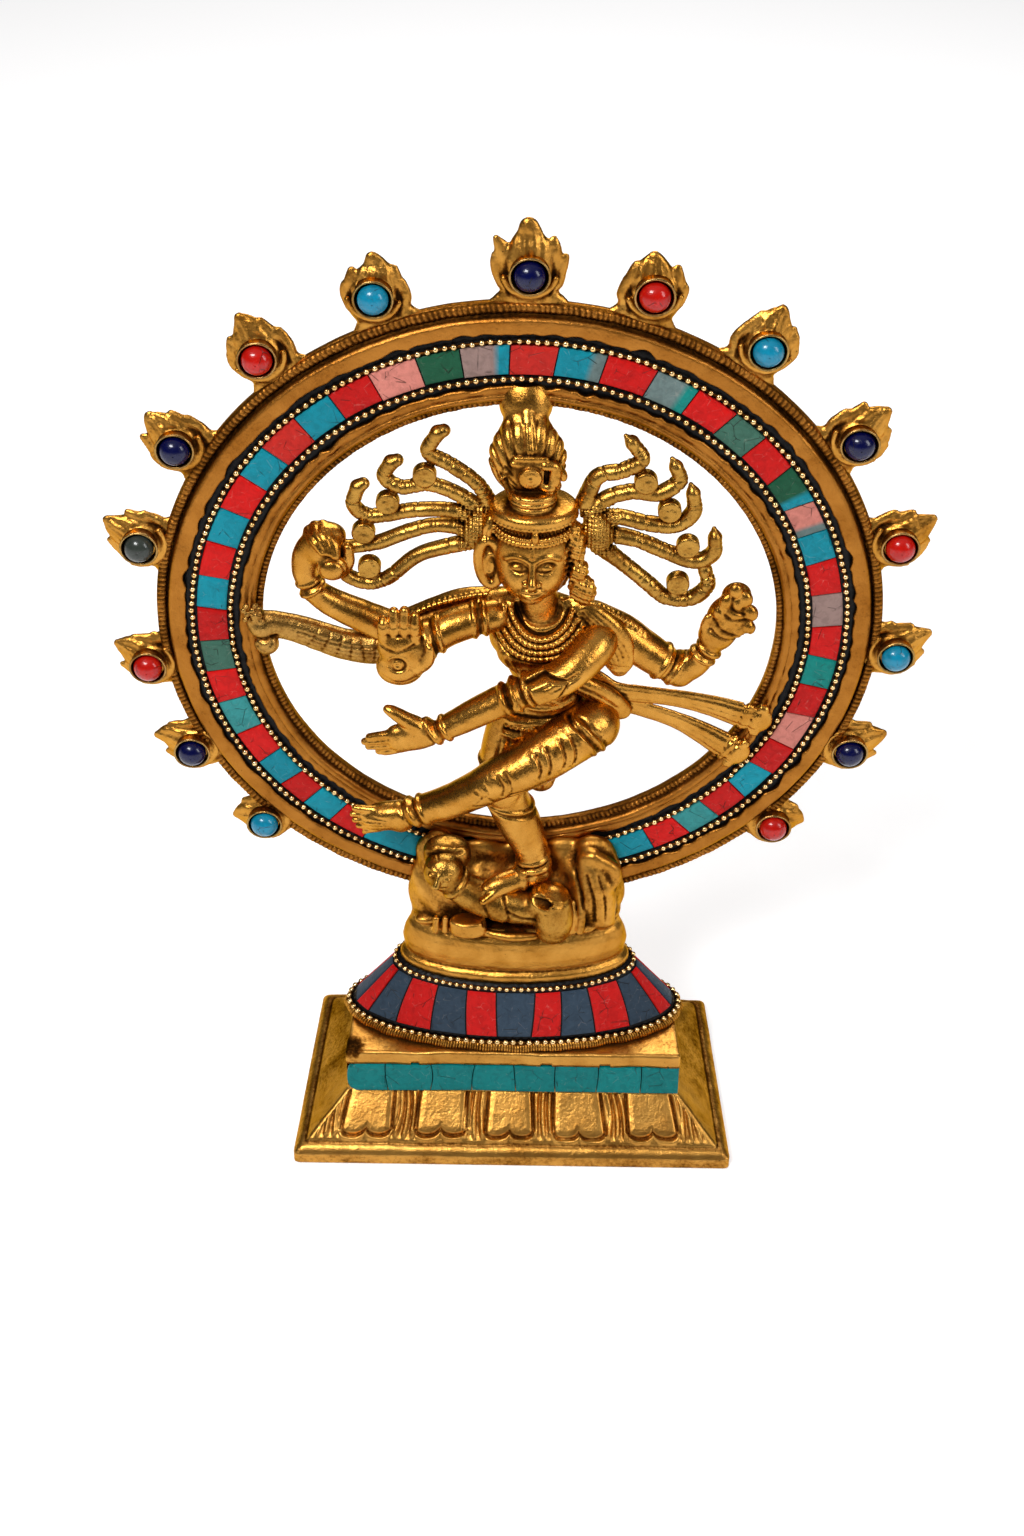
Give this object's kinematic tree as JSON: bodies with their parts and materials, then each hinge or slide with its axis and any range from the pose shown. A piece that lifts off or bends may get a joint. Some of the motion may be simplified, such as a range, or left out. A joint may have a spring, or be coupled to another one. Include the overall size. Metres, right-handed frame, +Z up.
{
  "type": "nataraja statue",
  "caption": "Dancing four-armed brass figure inside a ring of flames, inlaid with coloured stone, on an oval drum and a stepped base.",
  "frame": {"origin": "under the middle of the base, on the surface that it stands on", "axes": "+Z up; +X to the right as seen from the front; the front of the statue faces -Y"},
  "size_m": [0.2112, 0.064, 0.2799],
  "materials": {
    "cast_brass": "cast brass, polished on the raised faces, brown in the recesses, satin on the plain sides",
    "ring_brass": "hammered cast brass with dark tool marks",
    "figure_brass": "cast brass, hand chased, polished highlights and dark brown patina in the folds",
    "bezel_brass": "thin brass strip, aged",
    "bead_wire": "beaded brass wire, rubbed bright on the crowns",
    "black_lac": "black shellac setting bed, semi-gloss",
    "ring_stones": "ground and polished stone chips: coral red, turquoise, green, pink and grey",
    "drum_stones": "ground and polished stone chips: slate blue and coral red",
    "turquoise_inlay": "green-blue stone chips, satin",
    "coral_stone": "polished coral red cabochon",
    "turquoise_stone": "polished turquoise blue cabochon",
    "lapis_stone": "polished lapis blue cabochon",
    "jasper_stone": "polished dark green-grey cabochon",
    "steel_screw": "plain zinc-plated steel"
  },
  "bodies": {
    "root": {"base_plinth": "cast_brass", "turquoise_band": "turquoise_inlay", "drum_core": "cast_brass", "drum_lac_bed": "black_lac", "drum_mosaic": "drum_stones", "drum_bead_wire_lower": "bead_wire", "drum_bead_wire_upper": "bead_wire", "pedestal": "figure_brass", "dwarf": "figure_brass", "dancer_body": "figure_brass", "head_and_crown": "figure_brass", "hair_fan_left": "figure_brass", "hair_fan_right": "figure_brass", "rear_left_arm": "figure_brass", "rear_right_arm": "figure_brass", "front_left_arm": "figure_brass", "front_right_arm": "figure_brass", "raised_leg": "figure_brass", "waist_sash": "figure_brass", "shoulder_scarf": "figure_brass", "flame_ring": "ring_brass", "ring_lac_bed": "black_lac", "ring_mosaic": "ring_stones", "ring_bead_wire_inner": "bead_wire", "ring_bead_wire_outer": "bead_wire", "bezel_01": "bezel_brass", "cabochon_01": "turquoise_stone", "bezel_02": "bezel_brass", "cabochon_02": "lapis_stone", "bezel_03": "bezel_brass", "cabochon_03": "coral_stone", "bezel_04": "bezel_brass", "cabochon_04": "jasper_stone", "bezel_05": "bezel_brass", "cabochon_05": "lapis_stone", "bezel_06": "bezel_brass", "cabochon_06": "coral_stone", "bezel_07": "bezel_brass", "cabochon_07": "turquoise_stone", "bezel_08": "bezel_brass", "cabochon_08": "lapis_stone", "bezel_09": "bezel_brass", "cabochon_09": "coral_stone", "bezel_10": "bezel_brass", "cabochon_10": "turquoise_stone", "bezel_11": "bezel_brass", "cabochon_11": "lapis_stone", "bezel_12": "bezel_brass", "cabochon_12": "coral_stone", "bezel_13": "bezel_brass", "cabochon_13": "turquoise_stone", "bezel_14": "bezel_brass", "cabochon_14": "lapis_stone", "bezel_15": "bezel_brass", "cabochon_15": "coral_stone", "base_screw_left": "steel_screw", "base_screw_right": "steel_screw"}
  },
  "joints": []
}
